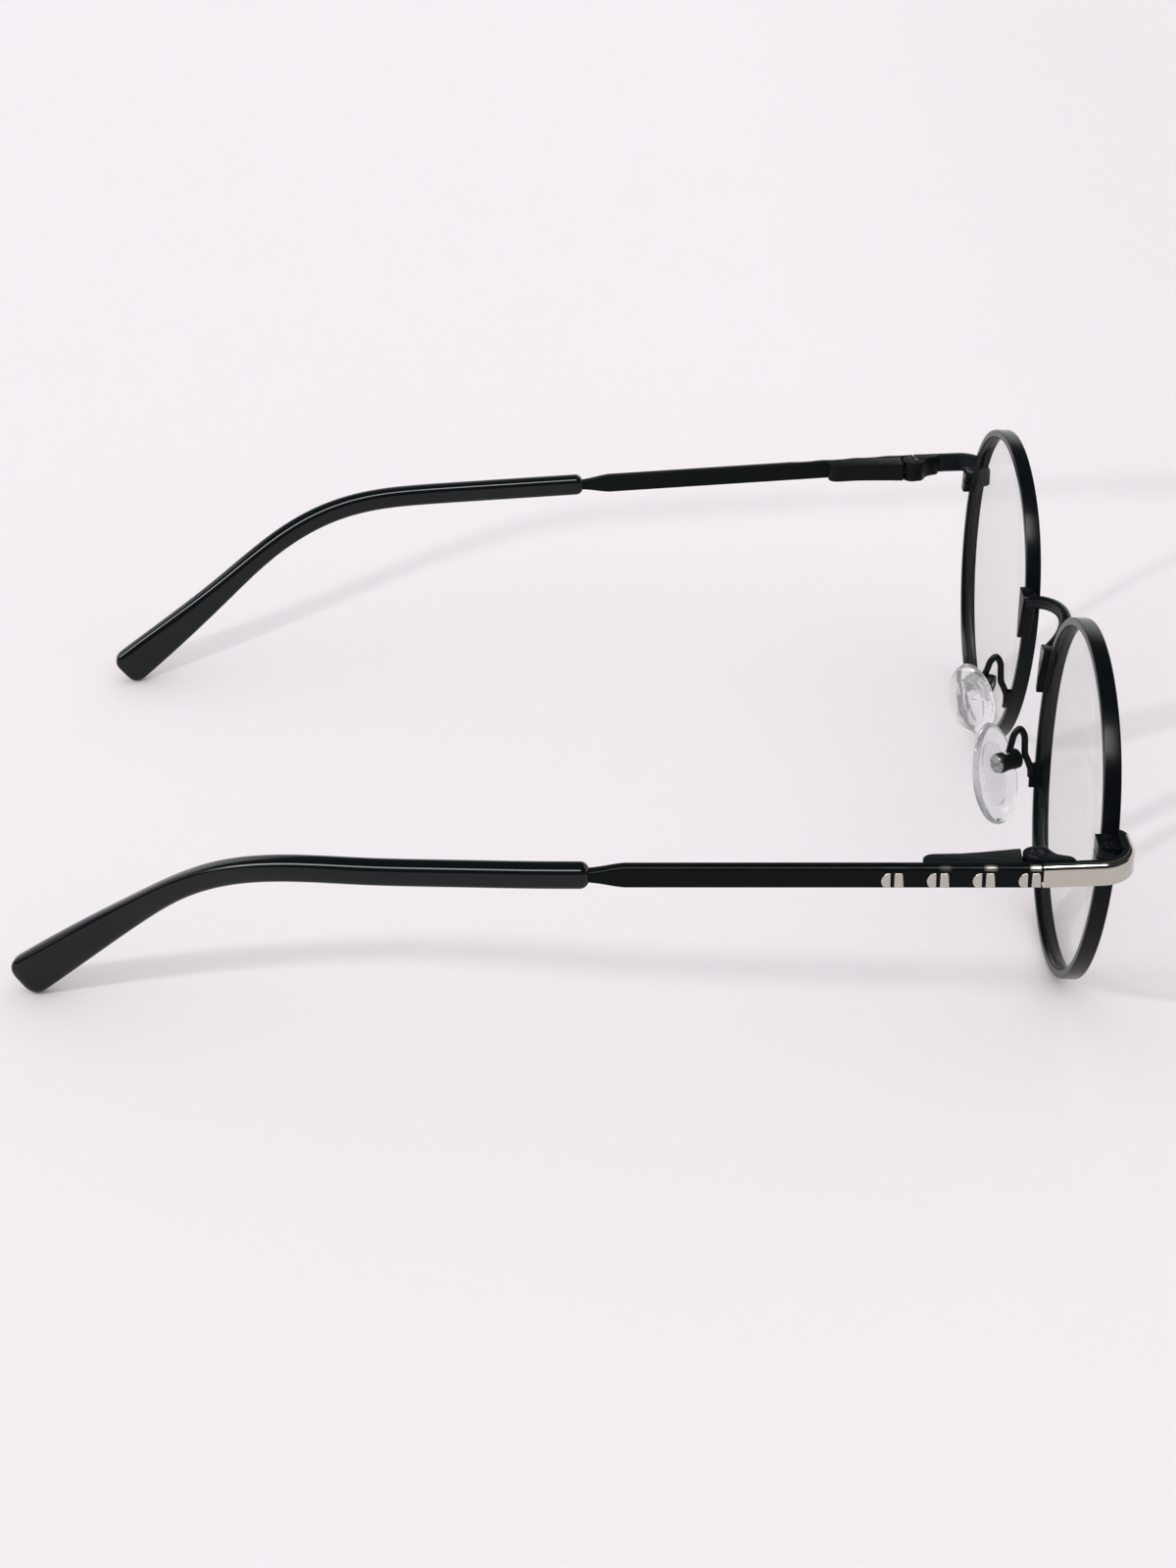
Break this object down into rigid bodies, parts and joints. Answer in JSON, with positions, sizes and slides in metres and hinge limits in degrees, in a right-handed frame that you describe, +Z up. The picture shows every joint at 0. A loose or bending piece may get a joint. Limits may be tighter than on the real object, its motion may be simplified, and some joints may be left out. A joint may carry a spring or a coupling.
{
  "type": "eyeglasses",
  "caption": "Round full-rim metal eyeglasses with adjustable nose pads, sprung folding temples and plastic temple tips.",
  "frame": {"origin": "centre of the bounding box's underside, on the surface that the rims and temple tips stand on", "axes": "+X to the wearer's left, +Y to the back of the head, along the temples, +Z up"},
  "size_m": [0.1312, 0.1454, 0.0476],
  "materials": {
    "black_metal": "satin black enamel",
    "silver_metal": "polished, warm silver plating",
    "steel_screw": "machined",
    "hinge_metal": "semi-gloss black",
    "lens_clear": "polished, coated",
    "pad_clear": "clear soft plastic",
    "pad_core": "clear hard plastic",
    "tip_plastic": "polished black"
  },
  "bodies": {
    "front": {"rim_left": "black_metal", "rim_right": "black_metal", "lens_left": "lens_clear", "lens_right": "lens_clear", "rim_lock_left": "black_metal", "rim_lock_right": "black_metal", "pad_arm_left": "black_metal", "pad_arm_right": "black_metal", "pad_cup_left": "black_metal", "pad_cup_right": "black_metal", "end_piece_left": "silver_metal", "end_piece_right": "silver_metal", "hinge_leaf_left": "hinge_metal", "hinge_leaf_right": "hinge_metal", "bridge": "black_metal", "rim_lock_screws": "steel_screw", "pad_screws": "steel_screw", "hinge_screws": "steel_screw"},
    "slider_left": {"hinge_slider_left": "hinge_metal"},
    "temple_left": {"temple_left": "black_metal", "temple_bands_left": "silver_metal", "temple_tip_left": "tip_plastic", "spring_housing_left": "hinge_metal", "hinge_spring_left": "steel_screw"},
    "pad_left": {"nose_pad_left": "pad_clear", "pad_core_left": "pad_core"},
    "slider_right": {"hinge_slider_right": "hinge_metal"},
    "temple_right": {"temple_right": "black_metal", "temple_bands_right": "silver_metal", "temple_tip_right": "tip_plastic", "spring_housing_right": "hinge_metal", "hinge_spring_right": "steel_screw"},
    "pad_right": {"nose_pad_right": "pad_clear", "pad_core_right": "pad_core"}
  },
  "joints": [
    {"name": "temple_left_fold", "type": "hinge", "parent": "front", "child": "slider_left", "pos_m": [0.06235, -0.0578, 0.03136], "axis": [-0.0034, 0.0505, 0.9987], "range_deg": [0, 84]},
    {"name": "temple_right_fold", "type": "hinge", "parent": "front", "child": "slider_right", "pos_m": [-0.06235, -0.0578, 0.03136], "axis": [-0.0034, -0.0505, -0.9987], "range_deg": [0, 79]},
    {"name": "temple_left_spring", "type": "slide", "parent": "slider_left", "child": "temple_left", "axis": [-0.0679, 0.9964, -0.0506], "range_m": [0, 0.0012], "stiffness_N_per_m": 800, "springref_m": -0.001, "deforming": ["hinge_spring_left"]},
    {"name": "temple_right_spring", "type": "slide", "parent": "slider_right", "child": "temple_right", "axis": [0.0679, 0.9964, -0.0506], "range_m": [0, 0.0012], "stiffness_N_per_m": 800, "springref_m": -0.001, "deforming": ["hinge_spring_right"]},
    {"name": "pad_left_rock", "type": "hinge", "parent": "front", "child": "pad_left", "pos_m": [0.01214, -0.06336, 0.01787], "axis": [0.5, 0.866, 0], "range_deg": [-8, 8]},
    {"name": "pad_right_rock", "type": "hinge", "parent": "front", "child": "pad_right", "pos_m": [-0.01214, -0.06336, 0.01787], "axis": [-0.5, 0.866, 0], "range_deg": [-8, 8]}
  ]
}
